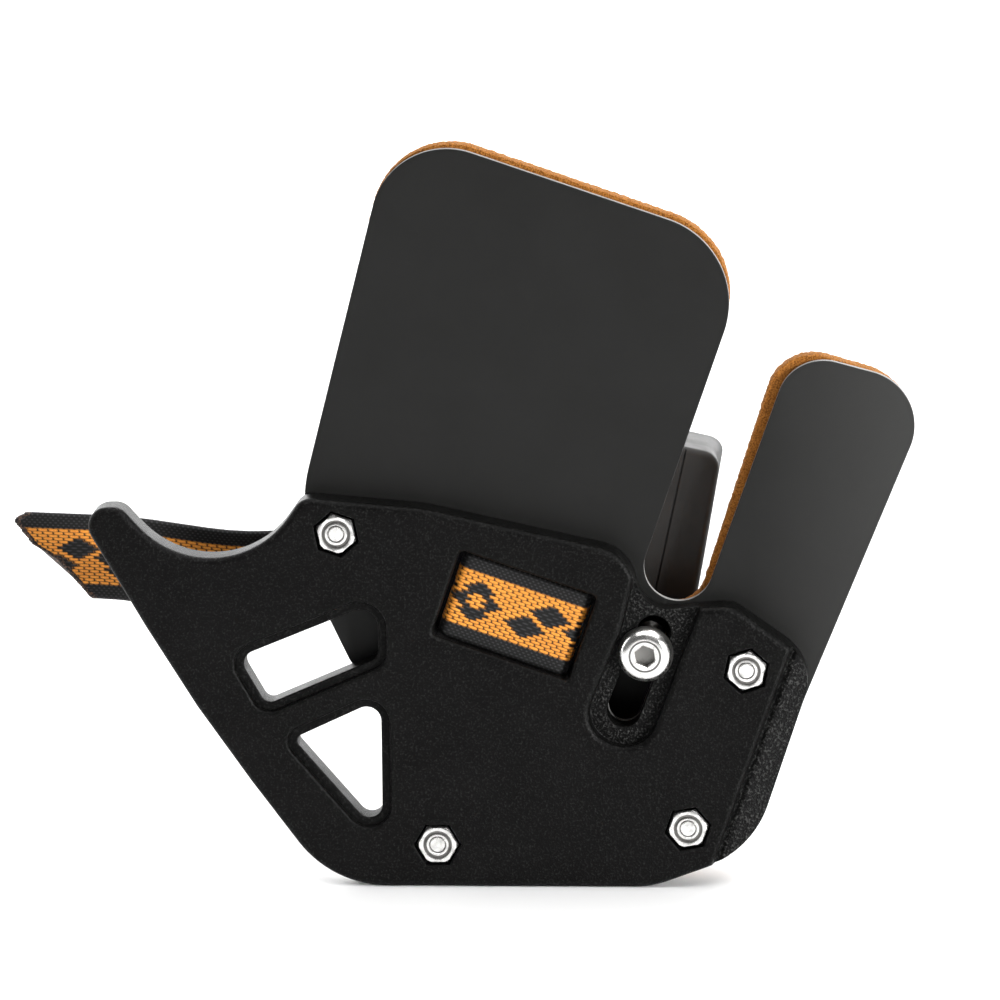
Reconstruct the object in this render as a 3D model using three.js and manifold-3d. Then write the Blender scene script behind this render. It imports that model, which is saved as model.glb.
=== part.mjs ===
// A right-hand archery finger tab: moulded front plate with a little-finger hook, two-layer
// leather, back plate, sliding finger spacer and a webbing finger strap.
// Millimetres. +X to the right seen from the string side, +Y away from the string, +Z up.

import * as THREE from "three";
import { mergeVertices } from "three/addons/utils/BufferGeometryUtils.js";
import Module from "manifold-3d";

const wasm = await Module();
wasm.setup();

// ---------------------------------------------------------------- driving dimensions

const GAP = 0.3; // between pieces that rest on one another
const ARC_STEP = THREE.MathUtils.degToRad(10);

// The sandwich, front to back: each piece's front face and its thickness.
const PLATE = { front: 0, thick: 5 };
const FACE = { front: 5.3, thick: 1.1 };
const BACKING = { front: 6.7, thick: 2.8 };
const BACK = { front: 9.8, thick: 2.6 };
const BACK_REAR = BACK.front + BACK.thick;

// An outline is a list of corners [x, z, radius], anticlockwise seen from the front.
const PLATE_OUTLINE = [
  [-24, -0.6, 15],
  [20, -0.6, 14],
  [33.8, 4.5, 13],
  [42.6, 30.6, 7],
  [31.3, 38.7, 4],
  [19.2, 37.8, 4.5],
  [17.0, 46.0, 6],
  [-10.5, 52.2, 14],
  [-27.0, 53.7, 2.6],
  [-38.6, 37.6, 13],
  [-51.8, 52.4, 2.5],
  [-58.2, 52.3, 2.7],
  [-42.3, 24.4, 225],
];
const PLATE_EDGE = 0.9; // rounding of the front edges

const HOOK_WINDOW_UPPER = [
  [-32.5, 24.8, 1.3],
  [-17.0, 31.4, 1.6],
  [-17.0, 39.2, 2.4],
  [-36.2, 31.4, 1.8],
];
const HOOK_WINDOW_LOWER = [
  [-16.9, 5.9, 1.8],
  [-16.8, 25.6, 2],
  [-28.9, 20.0, 0.9],
];
const WINDOW_SHELF = { width: 1.2, depth: 1 };

// Slot of the finger spacer's screw and the channel it is sunk in, which runs out at the top.
const SLOT = { x: 18.4, z: 29.35, length: 11.7, radius: 2.3, angle: 69 };
const SCREW_ALONG = 2.75; // from the slot's middle to the screw
const CHANNEL = { half: 4.65, depth: 1.8, length: 26, bend: [16.1, 35.1], top: [18.6, 45] };

// The sloping facet along the right edge: a step down from the face, then a slope outwards.
const FACET = { x: 39.2, z: 34.4, angle: 70.2, length: 46, above: 4, step: 1.1, depth: 1.6 };
const FACET_SLOPE = { width: 12, fall: 1.8 };

// The strap's frame: t runs along the webbing in the window, n across it.
const STRAP = { x: 1.65, z: 37.4, angle: -19.3, width: 12, thick: 1.2 };
const STRAP_WINDOW = { length: 19.6, height: 12.4, radius: 0.7 };
const STRAP_TURN = 8.7; // where the webbing turns back through the leather
const STRAP_MIDDLE_Y = 1.95;
const STRAP_SLOT = { width: 2.2, height: 13, radius: 0.8 };
const STRAP_EXIT_Y = 15.2; // middle of the webbing behind the back plate
const STRAP_BEND = 0.9;
const TAIL_HINGE_T = -13.7;
const TAIL_GAP = 0.75; // room for the free end to bend
const FINGER_LOOP = { right: 10.7, left: -8.2, rear: 34, radius: 8.2 };
const ANCHOR = { t: -5.5, end: 0, rise: 17, bend: 12 }; // clamped end of the loop

// The free end: its root edge at the right, its slanted cut at the left.
const TAIL_OUTLINE = [
  [-58.3, 36.8, 1],
  [-51, 36.6, 60],
  [-33, 33.6, 60],
  [-13.9, 36.0, 0],
  [-9.7, 47.9, 0],
  [-33, 45, 60],
  [-56, 48.1, 60],
  [-66.9, 48.8, 1.2],
  [-68.9, 47.7, 0.5],
  [-66.2, 44.1, 5],
  [-62.6, 41.9, 6],
];

// M2.5 clamp fasteners: nut in front, pan-head screw from the back.
const NUTS = [
  { name: "upper_left", x: -22.4, z: 48.7, turn: 41 },
  { name: "lower_left", x: -9.3, z: 5.3, turn: 0 },
  { name: "lower_right", x: 25.0, z: 7.7, turn: 10 },
  { name: "upper_right", x: 33.1, z: 29.8, turn: 18 },
];
const NUT = { flats: 5, height: 1.9, pocket: 5.7, pocketDepth: 2.1, proud: 0.1, room: 0.12 };
const M25 = { shank: 1.25, clearance: 1.5, headRadius: 2.35, headHeight: 1.6, proud: 0.45 };
const CROSS = { length: 2.6, width: 0.6, depth: 0.9 };

// M4 button-head screw of the spacer.
const M4 = { shank: 2, headRadius: 3.8, headHeight: 2.2, socket: 2.5, socketDepth: 1.3, end: 23 };

// Leather: both lobes with the finger slot between them.
const LOBE_AXIS = 70; // direction of the finger slot
const FINGER_SLOT = { x: 23.95, z: 43.15 };
// The corners that differ between the two layers: the tops of both lobes and the slot's foot,
// which lies below the slot's middle and reaches out to either side of it.
const FACE_LOBES = {
  indexRight: [58.6, 67.7, 7.6],
  indexLeft: [39.6, 72.9, 6.4],
  wideRight: [34.3, 86.9, 12],
  wideLeft: [-14.4, 103.9, 9.4],
  foot: { below: 4.8, left: 4.8, right: 4.6 },
};
const BACKING_LOBES = {
  indexRight: [58.3, 67.6, 8.2],
  indexLeft: [38.0, 73.7, 6.4],
  wideRight: [34.2, 87.5, 11.5],
  wideLeft: [-14.3, 104.7, 9.6],
  foot: { below: 5.8, left: 5.2, right: 4.0 },
};
const BACKING_SLOT_ROOM = 0.1;

// Where each lobe flexes: a line across the leather, drawn from (x, z), and the stretch of it
// that the lobe takes up. Each layer's free part starts its own gap beyond that line.
const WIDE_FLEX = { x: -25, z: 54.2, angle: -5.1, from: -20, to: 54 };
const INDEX_FLEX = { x: 27.8, z: 41.4, angle: -22.5, from: -3, to: 40 };
const LOBE_REACH = 70; // longer than any lobe
const FACE_FLEX_GAP = 2.45;
const BACKING_FLEX_GAP = 1.05;

const BACK_OUTLINE = [
  [-15.5, 0, 3],
  [21, 0, 10],
  [32.6, 4.2, 8],
  [39.4, 25.4, 6],
  [37.4, 32.6, 3],
  [30.5, 37.4, 4],
  [17.2, 38.8, 5],
  [15.6, 44.2, 4],
  [-10.5, 50.4, 14],
  [-25.2, 51.8, 3],
  [-22.6, 37, 10],
  [-19.8, 29.4, 6],
  [-15.4, 22.5, 6],
];

// Finger spacer: a tongue along its own axis, measured from the screw.
const SPACER = { angle: 77.5, bottom: -11.6, top: 26.8, lowHalf: 5.2, topHalf: 4.45, front: 12.7 };
const SPACER_CORNERS = { low: 3.5, top: 2.6, shoulder: 8, shoulderBend: 40 };
const SPACER_LINE = 0.25; // half width of the moulding line
const SPACER_FOOT = { bottom: -5.6, top: 5.4, half: 4, thick: 2.4, corner: 2.5 };
const SPACER_FIN = { bottom: -3, top: 23, half: 1.5, rear: 26, corner: 1.2 };
const SPACER_BOSS = 3.5;
const SPACER_KEY = { length: 6.6, below: 1.2, room: 0.15 }; // rides in the back plate's slot
const INSERT = { radius: 2.85, bore: 2.1, front: 15.6, length: 7, room: 0.12 };

// ---------------------------------------------------------------- shape helpers

const vec = (x, y) => new THREE.Vector2(x, y);
const radians = THREE.MathUtils.degToRad;
const direction = (angle) => vec(Math.cos(radians(angle)), Math.sin(radians(angle)));
const rightOf = (d) => vec(d.y, -d.x);

// Points of a corner list with its corners rounded, each with the unit vector to its right.
function rounded(corners, closed = true) {
  const points = corners.map(([x, z]) => vec(x, z));
  const count = points.length;
  const samples = [];
  corners.forEach(([, , radius = 0], i) => {
    const here = points[i];
    if (!closed && (i === 0 || i === count - 1)) {
      const heading = i === 0 ? points[1].clone().sub(here) : here.clone().sub(points[i - 1]);
      samples.push({ point: here, right: rightOf(heading.normalize()) });
      return;
    }
    const before = here.clone().sub(points[(i + count - 1) % count]).normalize();
    const after = points[(i + 1) % count].clone().sub(here).normalize();
    const turn = Math.atan2(before.cross(after), before.dot(after));
    const right = rightOf(before);
    if (radius === 0) {
      const mitre = right.clone().add(rightOf(after));
      samples.push({ point: here, right: mitre.divideScalar(1 + right.dot(rightOf(after))) });
      return;
    }
    const side = Math.sign(turn);
    const start = here.clone().addScaledVector(before, -radius * Math.tan(Math.abs(turn) / 2));
    const centre = start.addScaledVector(right, -side * radius);
    const steps = Math.max(1, Math.ceil(Math.abs(turn) / ARC_STEP));
    for (let k = 0; k <= steps; k++) {
      const out = right.clone().rotateAround(vec(0, 0), (turn * k) / steps);
      samples.push({ point: centre.clone().addScaledVector(out, side * radius), right: out });
    }
  });
  return samples;
}

// A solid whose outline is moved inwards by a different amount at each depth: [y, inset] pairs
// from front to back.
function layered(corners, layers) {
  const outline = rounded(corners);
  const count = outline.length;
  const rings = layers.map(([, inset]) =>
    outline.map(({ point, right }) => point.clone().addScaledVector(right, -inset)),
  );
  const positions = rings.flatMap((ring, i) => ring.flatMap((p) => [p.x, layers[i][0], p.y]));
  const index = [];
  for (let i = 0; i + 1 < rings.length; i++) {
    for (let k = 0; k < count; k++) {
      const a = i * count + k;
      const b = i * count + ((k + 1) % count);
      index.push(a, b + count, b, a, a + count, b + count);
    }
  }
  const last = (rings.length - 1) * count;
  THREE.ShapeUtils.triangulateShape(rings[0], []).forEach((f) => index.push(...f));
  THREE.ShapeUtils.triangulateShape(rings.at(-1), []).forEach(([a, b, c]) =>
    index.push(last + a, last + c, last + b),
  );
  const geometry = new THREE.BufferGeometry();
  geometry.setAttribute("position", new THREE.Float32BufferAttribute(positions, 3));
  geometry.setIndex(index);
  return solid(geometry);
}

const slab = (corners, front, thick) => layered(corners, [[front, 0], [front + thick, 0]]);

// A section drawn in a tilted frame (first coordinate along the direction of angle, second
// along +Y), drawn out both ways across that frame from (x, z).
function prism(section, { x, z, angle }, length, along = 0) {
  const across = direction(angle);
  const shape = new THREE.Shape(section.map(([a, y]) => vec(a, y)));
  const geometry = new THREE.ExtrudeGeometry(shape, { depth: length, bevelEnabled: false });
  const frame = new THREE.Matrix4().makeBasis(
    new THREE.Vector3(across.x, 0, across.y),
    new THREE.Vector3(0, 1, 0),
    new THREE.Vector3(-across.y, 0, across.x),
  );
  geometry.translate(0, 0, along - length / 2).applyMatrix4(frame).translate(x, 0, z);
  return solid(geometry);
}

// A solid turned about an axis along Y through (x, z): profile of [radius, y].
function turned(profile, x = 0, z = 0, segments = 24) {
  const points = profile.map(([radius, y]) => vec(radius, y));
  return solid(new THREE.LatheGeometry(points, segments).translate(x, 0, z));
}

const rod = (radius, from, to, x, z, segments) =>
  turned([[0, from], [radius, from], [radius, to], [0, to]], x, z, segments);

// Corners of a hexagon measured across its flats.
function hexagon(x, z, flats, turn) {
  return Array.from({ length: 6 }, (_, i) => {
    const out = direction(60 * i + turn).multiplyScalar(flats / Math.sqrt(3));
    return [x + out.x, z + out.y, 0.25];
  });
}

// Corners of a rectangle about (x, z), its length along the direction of angle.
function box(x, z, angle, length, height, radius) {
  const u = direction(angle);
  const along = [[-1, -1], [1, -1], [1, 1], [-1, 1]];
  return along.map(([a, b]) => [
    x + (a * u.x * length) / 2 - (b * u.y * height) / 2,
    z + (a * u.y * length) / 2 + (b * u.x * height) / 2,
    radius,
  ]);
}

// A manifold solid from a geometry.
function solid(geometry) {
  const bare = new THREE.BufferGeometry();
  bare.setAttribute("position", geometry.getAttribute("position"));
  bare.setIndex(geometry.index);
  const merged = mergeVertices(bare, 1e-4);
  const corners = merged.index.array;
  const triangles = [];
  for (let i = 0; i < corners.length; i += 3) {
    const [a, b, c] = corners.slice(i, i + 3);
    if (a !== b && b !== c && c !== a) triangles.push(a, b, c);
  }
  return new wasm.Manifold(
    new wasm.Mesh({
      numProp: 3,
      vertProperties: new Float32Array(merged.getAttribute("position").array),
      triVerts: new Uint32Array(triangles),
    }),
  );
}

const cut = (body, ...tools) => tools.reduce((rest, tool) => rest.subtract(tool), body);
const join = (first, ...others) => others.reduce((all, other) => all.add(other), first);

// Layers of a hole cutter with rounded front edge.
const roundedMouth = (edge, floor) => [
  [-1, edge],
  [0, edge],
  [edge * 0.134, edge * 0.5],
  [edge * 0.5, edge * 0.134],
  [edge, 0],
  [floor, 0],
].map(([y, outset]) => [y, -outset]);

// ---------------------------------------------------------------- positions in the frames

// A point of the strap's frame in the plate's plane.
function strapPoint(t, n = 0) {
  const u = direction(STRAP.angle);
  return [STRAP.x + t * u.x - n * u.y, STRAP.z + t * u.y + n * u.x];
}

const slotAxis = direction(SLOT.angle);
const SCREW = vec(SLOT.x, SLOT.z).addScaledVector(slotAxis, SCREW_ALONG);

// Outline of the slot, drawn on by more at its lower end.
function slotOutline(radius, more = 0) {
  const middle = vec(SLOT.x, SLOT.z).addScaledVector(slotAxis, -more / 2);
  const length = SLOT.length + 2 * radius + more;
  return box(middle.x, middle.y, SLOT.angle, length, 2 * radius, radius * 0.999);
}

// A point of the spacer's frame: s along it from the screw, w to its right.
function spacerPoint(s, w) {
  const u = direction(SPACER.angle);
  return [SCREW.x + s * u.x + w * u.y, SCREW.y + s * u.y - w * u.x];
}

// ---------------------------------------------------------------- holes shared by layers

const boltHoles = (from, to) => NUTS.map(({ x, z }) => rod(M25.clearance, from, to, x, z, 16));

function strapSlot(x, z, from, to) {
  const { width, height, radius } = STRAP_SLOT;
  return slab(box(x, z, STRAP.angle, width, height, radius), from, to - from);
}

function strapSlots(from, to) {
  return [-STRAP_TURN, STRAP_TURN].map((t) => {
    const [x, z] = strapPoint(t);
    return strapSlot(x, z, from, to);
  });
}

// ---------------------------------------------------------------- front plate

// Cutter of the sunk channel: straight walls along the slot, the left one bent near the top.
function channelCutter() {
  const low = vec(SLOT.x, SLOT.z).addScaledVector(slotAxis, -SLOT.length / 2);
  const toRight = rightOf(slotAxis).multiplyScalar(CHANNEL.half);
  const foot = low.clone().addScaledVector(slotAxis, -CHANNEL.half);
  const leftFoot = foot.clone().sub(toRight);
  const rightFoot = foot.clone().add(toRight);
  const rightTop = rightFoot.clone().addScaledVector(slotAxis, CHANNEL.length);
  const corners = [
    [leftFoot.x, leftFoot.y, CHANNEL.half * 0.95],
    [rightFoot.x, rightFoot.y, CHANNEL.half * 0.95],
    [rightTop.x, rightTop.y, 1],
    [...CHANNEL.top, 1],
    [...CHANNEL.bend, 12],
  ];
  return layered(corners, roundedMouth(PLATE_EDGE, CHANNEL.depth));
}

// Cutter of the facet: a steep step down from the face, then a gentle slope to the edge.
function facetCutter() {
  const { angle, length, above, step, depth } = FACET;
  const { width, fall } = FACET_SLOPE;
  const slope = [[width, -2], [width, depth + fall], [step, depth]];
  const section = [[0, -2], ...slope, [0.35, 0.35], [-0.2, -0.1]];
  const end = vec(FACET.x, FACET.z);
  const middle = end.addScaledVector(direction(angle), above - length / 2);
  return prism(section, { x: middle.x, z: middle.y, angle: angle - 90 }, length);
}

// Cutters of a window in the hook: the shelf round it and the opening itself.
function hookWindowCutters(corners) {
  const { width, depth } = WINDOW_SHELF;
  const shelf = layered(corners, [
    [-1, -width - 0.35],
    [0, -width - 0.35],
    [0.12, -width - 0.1],
    [0.4, -width],
    [depth, -width],
  ]);
  const opening = layered(corners, [[0, -0.15], [depth, -0.15], [depth + 0.25, 0], [6, 0]]);
  return [shelf, opening];
}

function frontPlate() {
  const back = PLATE.thick;
  const edge = PLATE_EDGE;
  const body = layered(PLATE_OUTLINE, [
    [0, edge],
    [edge * 0.134, edge * 0.5],
    [edge * 0.5, edge * 0.134],
    [edge, 0],
    [back - 0.3, 0],
    [back, 0.3],
  ]);
  const { length, height, radius } = STRAP_WINDOW;
  const window = layered(
    box(STRAP.x, STRAP.z, STRAP.angle, length, height, radius),
    roundedMouth(0.5, back + 1),
  );
  const slotMouth = [[0, 0], [CHANNEL.depth, -0.3], [CHANNEL.depth + 0.3, 0], [back + 1, 0]];
  const slot = layered(slotOutline(SLOT.radius), slotMouth);
  const pockets = NUTS.map(({ x, z, turn }) =>
    slab(hexagon(x, z, NUT.pocket, turn), -1, NUT.pocketDepth + 1),
  );
  return cut(
    body,
    facetCutter(),
    channelCutter(),
    slot,
    window,
    ...pockets,
    ...hookWindowCutters(HOOK_WINDOW_UPPER),
    ...hookWindowCutters(HOOK_WINDOW_LOWER),
    ...boltHoles(-1, back + 1),
  );
}

// ---------------------------------------------------------------- leather

// Outline of a whole leather layer, both lobes with the finger slot between them.
function leatherOutline({ indexRight, indexLeft, wideRight, wideLeft, foot }) {
  const u = direction(LOBE_AXIS);
  const right = rightOf(u);
  const middle = vec(FINGER_SLOT.x, FINGER_SLOT.z).addScaledVector(u, -foot.below);
  const slotLeft = middle.clone().addScaledVector(right, -foot.left);
  const slotRight = middle.clone().addScaledVector(right, foot.right);
  const radius = (foot.left + foot.right) / 2.02;
  return [
    [-14.6, 0.4, 3],
    [21, 0.4, 10],
    [32.8, 4.4, 8],
    [41, 25.2, 6],
    indexRight,
    indexLeft,
    [slotRight.x, slotRight.y, radius],
    [slotLeft.x, slotLeft.y, radius],
    wideRight,
    wideLeft,
    [-27.7, 52.4, 20],
    [-24.4, 36.5, 10],
    [-21.3, 29.8, 6],
    [-14.7, 22, 6],
  ];
}

// Everything of the wide or the index lobe beyond its flex line, moved off by gap.
function lobeRegion(flex, gap) {
  const front = FACE.front - 2;
  const rear = BACK.front + 2.2;
  const section = [[flex.from, front], [flex.to, front], [flex.to, rear], [flex.from, rear]];
  return prism(section, flex, LOBE_REACH, LOBE_REACH / 2 + gap);
}

function leatherLayer({ front, thick }, outline, slotRadius, flexGap) {
  const sheet = slab(outline, front, thick);
  const from = front - 1;
  const to = front + thick + 1;
  const spacerSlot = slab(slotOutline(slotRadius), from, to - from);
  const clamped = cut(sheet, lobeRegion(WIDE_FLEX, -GAP / 2), lobeRegion(INDEX_FLEX, -GAP / 2));
  return {
    root: cut(clamped, spacerSlot, ...boltHoles(from, to), ...strapSlots(from, to)),
    wideFlap: sheet.intersect(lobeRegion(WIDE_FLEX, flexGap)),
    indexFlap: sheet.intersect(lobeRegion(INDEX_FLEX, flexGap)),
  };
}

// ---------------------------------------------------------------- back plate

function backPlate() {
  const from = BACK.front - 1;
  const to = BACK_REAR + 1;
  const body = layered(BACK_OUTLINE, [
    [BACK.front, 0.2],
    [BACK.front + 0.2, 0],
    [BACK_REAR - 0.5, 0],
    [BACK_REAR - 0.15, 0.15],
    [BACK_REAR, 0.5],
  ]);
  const anchorSlot = strapSlot(...strapPoint(ANCHOR.t), from, to);
  const pocketLength = ANCHOR.end - ANCHOR.t + 1.8;
  const [pocketX, pocketZ] = strapPoint((ANCHOR.t + ANCHOR.end) / 2);
  const anchorPocket = slab(
    box(pocketX, pocketZ, STRAP.angle, pocketLength, STRAP_SLOT.height - 0.4, 0.5),
    from,
    1 + STRAP.thick + GAP,
  );
  const spacerSlot = slab(slotOutline(SLOT.radius, 2 * SPACER_KEY.below), from, to - from);
  const holes = [...boltHoles(from, to), ...strapSlots(from, to)];
  return cut(body, anchorSlot, anchorPocket, spacerSlot, ...holes);
}

// ---------------------------------------------------------------- fasteners

function nut({ x, z, turn }) {
  const front = -NUT.proud;
  const rear = front + NUT.height;
  const corner = NUT.flats / Math.sqrt(3);
  const chamfer = turned(
    [[0, front], [corner * 0.87, front], [corner * 1.02, front + 0.35], [corner * 1.02, rear], [0, rear]],
    x,
    z,
  );
  const hex = slab(hexagon(x, z, NUT.flats, turn), front, NUT.height);
  return cut(hex.intersect(chamfer), rod(M25.shank + NUT.room, front - 1, rear + 1, x, z));
}

// Pan-head screw with a cross recess, its head behind the back plate.
function clampScrew({ x, z }) {
  const under = BACK_REAR + GAP / 2;
  const top = under + M25.headHeight;
  const { shank, headRadius, proud } = M25;
  const body = turned(
    [
      [0, -proud],
      [shank - 0.3, -proud],
      [shank, -proud + 0.3],
      [shank, under],
      [headRadius, under],
      [headRadius, top - 0.75],
      [headRadius * 0.8, top - 0.25],
      [headRadius * 0.45, top],
      [0, top],
    ],
    x,
    z,
  );
  const arms = [45, 135].map((angle) =>
    slab(box(x, z, angle, CROSS.length, CROSS.width, 0.1), top - CROSS.depth, 2),
  );
  return cut(body, ...arms);
}

function spacerScrew() {
  const seat = CHANNEL.depth - 0.1;
  const { shank, headRadius, headHeight, socket, socketDepth, end } = M4;
  const top = seat - headHeight;
  const dome = [0, 0.25, 0.5, 0.75, 1].map((part) => {
    const lean = (part * Math.PI) / 2.2;
    return [
      headRadius * (0.52 + 0.48 * Math.sin(lean) / Math.sin(Math.PI / 2.2)),
      top + (headHeight - 0.35) * (1 - Math.cos(lean)),
    ];
  });
  const body = turned(
    [[0, top], ...dome, [headRadius, seat], [shank, seat], [shank, end - 0.5], [shank - 0.5, end], [0, end]],
    SCREW.x,
    SCREW.y,
    36,
  );
  const hex = slab(hexagon(SCREW.x, SCREW.y, socket, 0), top - 1, socketDepth + 1);
  return cut(body, hex);
}

// ---------------------------------------------------------------- finger spacer

function spacerOutline() {
  const { bottom, top, lowHalf, topHalf } = SPACER;
  const corners = SPACER_CORNERS;
  return [
    [...spacerPoint(bottom, -lowHalf), corners.low],
    [...spacerPoint(bottom, lowHalf), corners.low],
    [...spacerPoint(corners.shoulder, lowHalf), corners.shoulderBend],
    [...spacerPoint(top, topHalf), corners.top],
    [...spacerPoint(top, -topHalf), corners.top],
    [...spacerPoint(corners.shoulder, -lowHalf), corners.shoulderBend],
  ];
}

// A bar along the spacer's axis, grown by room on its four sides.
const spacerBar = ({ bottom, top, half, corner }, room) => [
  [...spacerPoint(bottom - room, -half - room), corner],
  [...spacerPoint(bottom - room, half + room), corner],
  [...spacerPoint(top + room, half + room), corner],
  [...spacerPoint(top + room, -half - room), corner],
];

// The hard parts of the core grown by room, joined: foot, fin and boss.
function coreShape(room) {
  const front = BACK_REAR + GAP;
  const finFront = front + 0.5;
  const bossRear = INSERT.front + INSERT.length + 1.5 + room;
  return join(
    slab(spacerBar(SPACER_FOOT, room), front, SPACER_FOOT.thick + room),
    slab(spacerBar(SPACER_FIN, room), finFront, SPACER_FIN.rear + room - finFront),
    rod(SPACER_BOSS + room, front + 1, bossRear, SCREW.x, SCREW.y),
  );
}

function spacerCore() {
  const { length, below, room } = SPACER_KEY;
  const keyFront = BACK.front + 0.4;
  const keyMiddle = SCREW.clone().addScaledVector(slotAxis, -below);
  const key = slab(
    box(keyMiddle.x, keyMiddle.y, SLOT.angle, length, 2 * (SLOT.radius - room), 2),
    keyFront,
    BACK_REAR + GAP + 0.5 - keyFront,
  );
  const bore = rod(M4.shank + 0.3, 0, 30, SCREW.x, SCREW.y);
  const insertBore = rod(INSERT.radius + INSERT.room, INSERT.front - 0.2, 30, SCREW.x, SCREW.y);
  return cut(join(coreShape(0), key), bore, insertBore);
}

function spacerInsert() {
  const { radius, bore, front, length } = INSERT;
  const ends = [[radius - 0.25, 0], [radius, 0.25], [radius, 2.9], [radius - 0.3, 3.1], [radius - 0.3, 3.9]];
  const mirrored = ends.map(([r, y]) => [r, length - y]).reverse();
  const wall = [...ends, ...mirrored].map(([r, y]) => [r, front + y]);
  const body = turned([[0, front], ...wall, [0, front + length]], SCREW.x, SCREW.y);
  return cut(body, rod(bore, front - 1, front + length + 1, SCREW.x, SCREW.y));
}

// Rubber over the core, waisted where the fingers lie, with a moulding line down its front.
function spacerGrip() {
  const front = SPACER.front;
  const depthAndInset = [
    [0, 1],
    [0.4, 0.3],
    [1.1, 0],
    [2.5, 0.1],
    [6, 0.7],
    [10, 0.9],
    [13.5, 0.8],
    [15.5, 0.7],
    [16.4, 1.2],
    [16.9, 2.2],
  ];
  const layers = depthAndInset.map(([depth, inset]) => [front + depth, inset]);
  const body = layered(spacerOutline(), layers);
  const [from, to] = [front - 1, front + 0.35];
  const line = prism(
    [[-SPACER_LINE, from], [SPACER_LINE, from], [SPACER_LINE, to], [-SPACER_LINE, to]],
    { x: SCREW.x, z: SCREW.y, angle: SPACER.angle - 90 },
    2 * SPACER.top,
    SPACER.top,
  );
  const screwEnd = rod(M4.shank + 0.6, front, M4.end + 0.8, SCREW.x, SCREW.y);
  return cut(body, coreShape(GAP), line, screwEnd);
}

// ---------------------------------------------------------------- strap

// Webbing along a path of [t, y, radius], full strap width.
function webbing(path) {
  const middle = rounded(path, false);
  const half = STRAP.thick / 2;
  const side = (sign) =>
    middle.map(({ point, right }) => point.clone().addScaledVector(right, sign * half).toArray());
  return prism([...side(1), ...side(-1).reverse()], STRAP, STRAP.width);
}

// Across the window, back through both slots, and out to the left at the rear.
const strapBand = () =>
  webbing([
    [TAIL_HINGE_T + GAP / 2, STRAP_EXIT_Y],
    [-STRAP_TURN, STRAP_EXIT_Y, STRAP_BEND],
    [-STRAP_TURN, STRAP_MIDDLE_Y, STRAP_BEND],
    [STRAP_TURN, STRAP_MIDDLE_Y, STRAP_BEND],
    [STRAP_TURN, BACK_REAR + 0.4],
  ]);

// Round the finger, into the back plate and flat between it and the leather.
function strapLoop() {
  const { right, left, rear, radius } = FINGER_LOOP;
  const clampedY = BACK.front + STRAP.thick / 2 + 0.1;
  return webbing([
    [STRAP_TURN, BACK_REAR + 0.4 + GAP],
    [right, rear, radius],
    [left, rear, radius],
    [ANCHOR.t, ANCHOR.rise, ANCHOR.bend],
    [ANCHOR.t, clampedY, STRAP_BEND],
    [ANCHOR.end, clampedY],
  ]);
}

// The free end lies in one plane and bends a little on its way to the slanted cut.
function strapTail() {
  const tail = slab(TAIL_OUTLINE, STRAP_EXIT_Y - STRAP.thick / 2, STRAP.thick);
  const rootT = TAIL_HINGE_T - TAIL_GAP;
  const [from, to] = [STRAP_EXIT_Y - 5, STRAP_EXIT_Y + 5];
  return cut(tail, prism([[rootT, from], [0, from], [0, to], [rootT, to]], STRAP, 40));
}

// ---------------------------------------------------------------- assembly

const MATERIALS = {
  plastic: { color: 0x1b1b1c, roughness: 0.55, metalness: 0 },
  stringFace: { color: 0x2f3030, roughness: 0.85, metalness: 0 },
  suede: { color: 0xb5651d, roughness: 0.95, metalness: 0 },
  rubber: { color: 0x323231, roughness: 0.7, metalness: 0 },
  steel: { color: 0xc9cbcc, roughness: 0.3, metalness: 1 },
  brass: { color: 0xc8a24a, roughness: 0.35, metalness: 1 },
  webbing: { color: 0xe08a1e, roughness: 0.9, metalness: 0 },
};

const group = new THREE.Group();
group.name = "finger_tab";

function add(name, body, material) {
  const { vertProperties, triVerts } = body.getMesh();
  const geometry = new THREE.BufferGeometry();
  geometry.setAttribute("position", new THREE.BufferAttribute(vertProperties, 3));
  geometry.setIndex(new THREE.BufferAttribute(triVerts, 1));
  geometry.computeVertexNormals();
  const mesh = new THREE.Mesh(geometry, new THREE.MeshStandardMaterial(MATERIALS[material]));
  mesh.name = name;
  group.add(mesh);
}

const faceOutline = leatherOutline(FACE_LOBES);
const face = leatherLayer(FACE, faceOutline, SLOT.radius, FACE_FLEX_GAP);
const backing = leatherLayer(
  BACKING,
  leatherOutline(BACKING_LOBES),
  SLOT.radius + BACKING_SLOT_ROOM,
  BACKING_FLEX_GAP,
);

add("front_plate", frontPlate(), "plastic");
add("string_face_root", face.root, "stringFace");
add("string_face_wide_flap", face.wideFlap, "stringFace");
add("string_face_index_flap", face.indexFlap, "stringFace");
add("backing_root", backing.root, "suede");
add("backing_wide_flap", backing.wideFlap, "suede");
add("backing_index_flap", backing.indexFlap, "suede");
add("back_plate", backPlate(), "plastic");
for (const place of NUTS) {
  add(`clamp_nut_${place.name}`, nut(place), "steel");
  add(`clamp_screw_${place.name}`, clampScrew(place), "steel");
}
add("spacer_core", spacerCore(), "plastic");
add("spacer_grip", spacerGrip(), "rubber");
add("spacer_insert", spacerInsert(), "brass");
add("spacer_screw", spacerScrew(), "steel");
add("strap_band", strapBand(), "webbing");
add("strap_loop", strapLoop(), "webbing");
add("strap_tail", strapTail(), "webbing");

// The part's own frame: the middle of its bounding box in plan, standing on z = 0.
const bounds = new THREE.Box3().setFromObject(group);
const middle = bounds.getCenter(new THREE.Vector3());
group.position.set(-middle.x, -middle.y, -bounds.min.z);

export default group;
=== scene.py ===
"""Looks of a right-hand archery finger tab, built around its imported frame.

Shapes are drawn in millimetres in the plate's plane (x to the right, z up, y from the string side
to the hand side, 0 on the plate's front) and turned into the row frame's metres by design().
"""

import math
import random

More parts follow.
